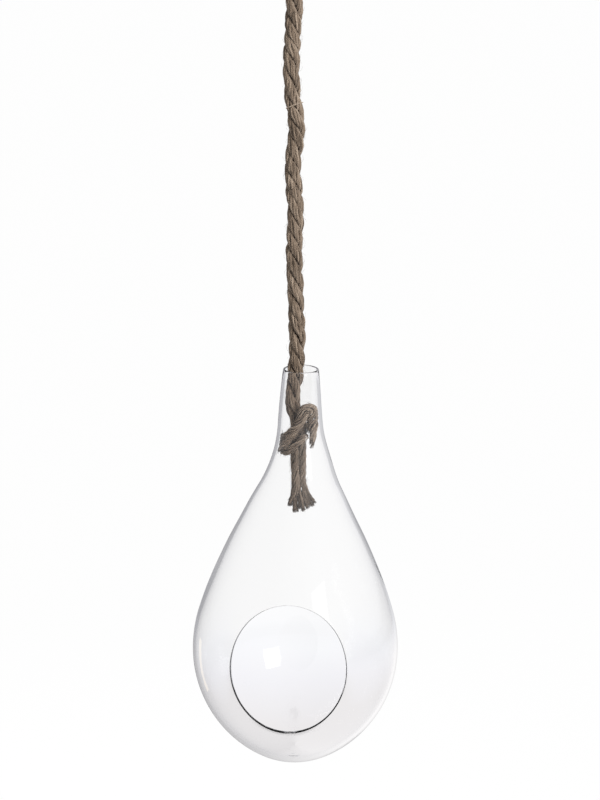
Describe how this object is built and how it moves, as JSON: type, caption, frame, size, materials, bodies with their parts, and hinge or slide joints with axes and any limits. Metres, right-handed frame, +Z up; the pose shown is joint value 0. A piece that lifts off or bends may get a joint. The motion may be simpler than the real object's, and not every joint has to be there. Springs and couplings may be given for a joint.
{
  "type": "hanging propagation vase",
  "caption": "Clear blown-glass teardrop vase with an open neck and an oval side opening, hung on a jute rope whose knot inside the neck carries the glass.",
  "frame": {"origin": "the point inside the top of the rope's loop that bears on the hook", "axes": "+Z up along the rope, the side opening faces -Y, +X to the right when facing the opening"},
  "size_m": [0.1199, 0.1124, 0.5686],
  "materials": {
    "clear_glass": "clear blown glass, fire-polished edges",
    "jute_rope": "three-strand laid jute, grey-brown, hairy",
    "jute_twine": "twisted jute twine, lighter brown"
  },
  "bodies": {
    "hanger": {"rope_top_loop": "jute_rope", "loop_whipping": "jute_twine"},
    "rope_bend": {"rope_bend_length": "jute_rope"},
    "rope": {"rope_hanging_length": "jute_rope"},
    "knot": {"tail_strand_left": "jute_rope", "tail_strand_right": "jute_rope", "hitch_strand": "jute_rope", "frayed_yarn_ends": "jute_rope"},
    "vessel": {"glass_vessel": "clear_glass"}
  },
  "joints": [
    {"name": "swing_side", "type": "hinge", "parent": "hanger", "child": "rope_bend", "pos_m": [0, 0, -0.107], "axis": [0, 1, 0], "range_deg": [-25, 25]},
    {"name": "swing_front", "type": "hinge", "parent": "rope_bend", "child": "rope", "pos_m": [0, 0, -0.137], "axis": [1, 0, 0], "range_deg": [-25, 25]},
    {"name": "rope_twist", "type": "hinge", "parent": "rope", "child": "knot", "pos_m": [0, 0, -0.332], "axis": [0, 0, 1], "range_deg": [-180, 180]},
    {"name": "vessel_lift", "type": "slide", "parent": "knot", "child": "vessel", "axis": [0, 0, 1], "range_m": [0, 0.1]}
  ]
}
